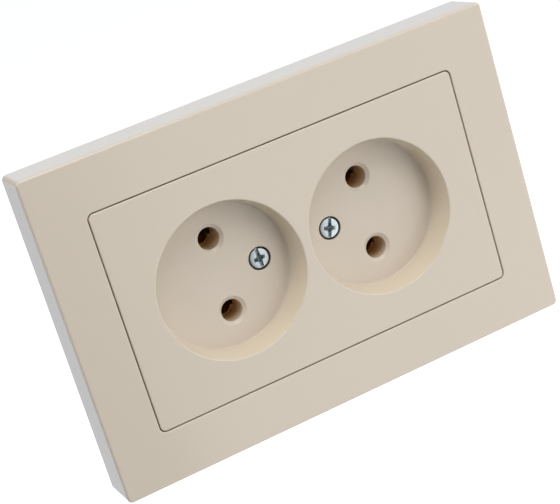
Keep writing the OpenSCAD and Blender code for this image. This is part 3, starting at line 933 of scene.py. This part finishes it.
# %% Put the finishes on
FINISHES = {
    "frame_plastic": frame_ivory,
    "cover_plastic": cover_ivory,
    "zinc_steel": zinc_plate("bright_zinc_plate"),
    "galvanised_steel": galvanised_sheet("galvanised_sheet"),
    "spring_steel": spring_steel("spring_steel_strip"),
    "contact_brass": contact_brass("rolled_contact_brass"),
    "insulator": thermoset("thermoset_insulator"),
}


def finish(piece, slot, material=None):
    """Gives a piece one of the record's finishes, or its own version of one."""
    piece.data.materials.clear()
    piece.data.materials.append(material or FINISHES[slot])


slots = {row["node"]: row["material_slot"] for row in frame["record"]["subparts"]}
for node in kept:
    finish(node, slots[node.name])
for piece in (outer_frame, ribs):
    finish(piece, "frame_plastic")
finish(cover, "cover_plastic")
for screw in hidden_screws:
    finish(screw, "zinc_steel")
for contact in contacts:
    finish(contact, "contact_brass")
# zinc for the cover screws, with painted shade at the bottom of their drives
zinc_with_painted_drive_shade = zinc_plate("zinc_plate_cover_screw", drives=(SCREW_TOP, SCREW_X))
for screw in cover_screws:
    finish(screw, "zinc_steel", zinc_with_painted_drive_shade)
print("finishes:", len(FINISHES))

# %% [markdown]
# ## Studio
#
# A white table far below the outlet, an even and slightly cool room, and four large softboxes on
# a ring about the outlet: one near the lens axis fills the floors of the recesses, one high up
# and one at each side shape their walls. The table to the front right stays white, and the
# glossy frame mirrors it; to the front left it is under a dark cloth, which makes the left of the
# frame a little deeper. A grey cloth behind on the left is what the frame's left side mirrors,
# and a weak sky light behind does the same for its top side. The cloths are there for what the
# outlet mirrors, so the lens doesn't see them and they throw no shadow on the table.

# %% Table and cloths
TABLE_Z, TABLE_HALF = -0.35, 6
CLOTH_Z = TABLE_Z + 0.02


def level_sheet(name, corners, height, material):
    """A flat polygon of the studio, in metres, that lies level and faces up."""
    bm = bmesh.new()
    bm.faces.new([bm.verts.new((x, y, height)) for x, y in corners])
    mesh = bpy.data.meshes.new(name)
    bm.to_mesh(mesh)
    bm.free()
    sheet = bpy.data.objects.new(name, mesh)
    bpy.context.scene.collection.objects.link(sheet)
    sheet.data.materials.append(material)
    return sheet


def plain(name, shade, glow=0.0, glow_tint=(1, 1, 1)):
    """A matt sheet; a glow stands for light that it gets from the rest of the room."""
    paint = Paint(name)
    return paint.surface({"Base Color": (shade, shade, shade, 1), "Roughness": 0.9,
                          "Specular IOR Level": 0.0, "Emission Color": (*glow_tint, 1),
                          "Emission Strength": glow})


def rectangle(left, right, front, back):
    """Corners of a rectangle on the table; -Y is towards the front."""
    return ((left, front), (right, front), (right, back), (left, back))


level_sheet(
    "floor",
    rectangle(-TABLE_HALF, TABLE_HALF, -TABLE_HALF, TABLE_HALF),
    TABLE_Z,
    plain("white_table", 0.85, glow=0.62),
)
cloths = (
    level_sheet(
        "dark_cloth",
        ((-3, 0.35), (-0.25, 0.35), (-0.25, -0.12), (-0.015, -0.12), (0.718, -3), (-3, -3)),
        CLOTH_Z,
        plain("dark_cloth_weave", 0.05),
    ),
    level_sheet(
        "grey_cloth",
        rectangle(-3, -0.1, 0.4, 2.6),
        CLOTH_Z,
        plain("grey_cloth_weave", 0.1, glow=0.74, glow_tint=(0.92, 1.0, 1.14)),
    ),
)
for cloth in cloths:
    cloth.visible_camera = False
    cloth.visible_shadow = False
print("table at", TABLE_Z, "m, with", len(cloths), "cloths over it")

# %% [markdown]
# Each softbox stands on a sphere about the outlet, at an azimuth from straight in front and an
# elevation, both in degrees.

# %% Lamps and room
DISTANCE_OF_LAMPS, SOFTBOX = 1.25, 0.7
LAMPS = (
    # name, azimuth, elevation, power, tint
    ("front_softbox", 35, 15, 2.7, (1.0, 0.995, 0.98)),
    ("upper_softbox", 0, 58, 5.3, (1.0, 0.99, 0.975)),
    ("left_softbox", -73, 42, 3.9, (1.0, 0.99, 0.975)),
    ("right_softbox", 75, 45, 1.7, (1.0, 0.985, 0.96)),
)


def way_to(azimuth, elevation):
    """The direction from the outlet to an azimuth and an elevation, in degrees."""
    a, e = math.radians(azimuth), math.radians(elevation)
    return Vector((math.sin(a) * math.cos(e), -math.cos(a) * math.cos(e), math.sin(e)))


def lamp(name, power, size, centre, towards, tint):
    """A softbox that faces a point; the lens doesn't see it."""
    data = bpy.data.lights.new(name, "AREA")
    data.energy = power
    data.shape = "RECTANGLE"
    data.size, data.size_y = size
    data.color = tint
    light = bpy.data.objects.new(name, data)
    bpy.context.scene.collection.objects.link(light)
    light.location = centre
    light.rotation_euler = (Vector(towards) - Vector(centre)).to_track_quat("-Z", "Y").to_euler()
    light.visible_camera = False
    return light


middle = on_wall(0, 0, FRAME_T / 2)
for name, azimuth, elevation, power, tint in LAMPS:
    centre = way_to(azimuth, elevation) * DISTANCE_OF_LAMPS
    lamp(name, power, (SOFTBOX, SOFTBOX), centre, middle, tint)
lamp("sky_softbox", 1.35, (1.2, 0.8), (0.48, 1.35, 0.44), middle, (0.8, 1.0, 1.2))

world = bpy.data.worlds.new("pale_room")
world.use_nodes = True
room = world.node_tree.nodes["Background"]
room.inputs["Color"].default_value = (0.94, 0.97, 1.04, 1)
room.inputs["Strength"].default_value = 0.45
bpy.context.scene.world = world
bpy.context.scene.view_settings.view_transform = "Standard"
print("softboxes:", len(LAMPS) + 1)

# %% [markdown]
# ## Camera
#
# A long lens to the outlet's left and a little above it, rolled so that the outlet lies on a
# slant in the render.

# %% Camera
LENS = 105.5
DISTANCE = 0.3946
AZIMUTH, ELEVATION, ROLL = -19.65, 16.97, 17.36
aim = on_wall(-6.25, 1.08, FRAME_T - 2.55)


def camera_at(azimuth, elevation, roll, distance, target):
    """A camera that looks at a target from an azimuth and an elevation, rolled clockwise."""
    back = way_to(azimuth, elevation)
    level = (-back).to_track_quat("-Z", "Y").to_matrix()
    turn = Matrix.Rotation(math.radians(-roll), 3, "Z")
    data = bpy.data.cameras.new("camera")
    data.lens = LENS
    data.sensor_width = 36
    data.clip_start, data.clip_end = 0.01, 50
    camera = bpy.data.objects.new("camera", data)
    bpy.context.scene.collection.objects.link(camera)
    camera.matrix_world = Matrix.Translation(target + back * distance) @ (level @ turn).to_4x4()
    return camera


bpy.context.scene.camera = camera_at(AZIMUTH, ELEVATION, ROLL, DISTANCE, aim)
print(f"camera at {AZIMUTH}, {ELEVATION} degrees, {DISTANCE} m from the outlet")
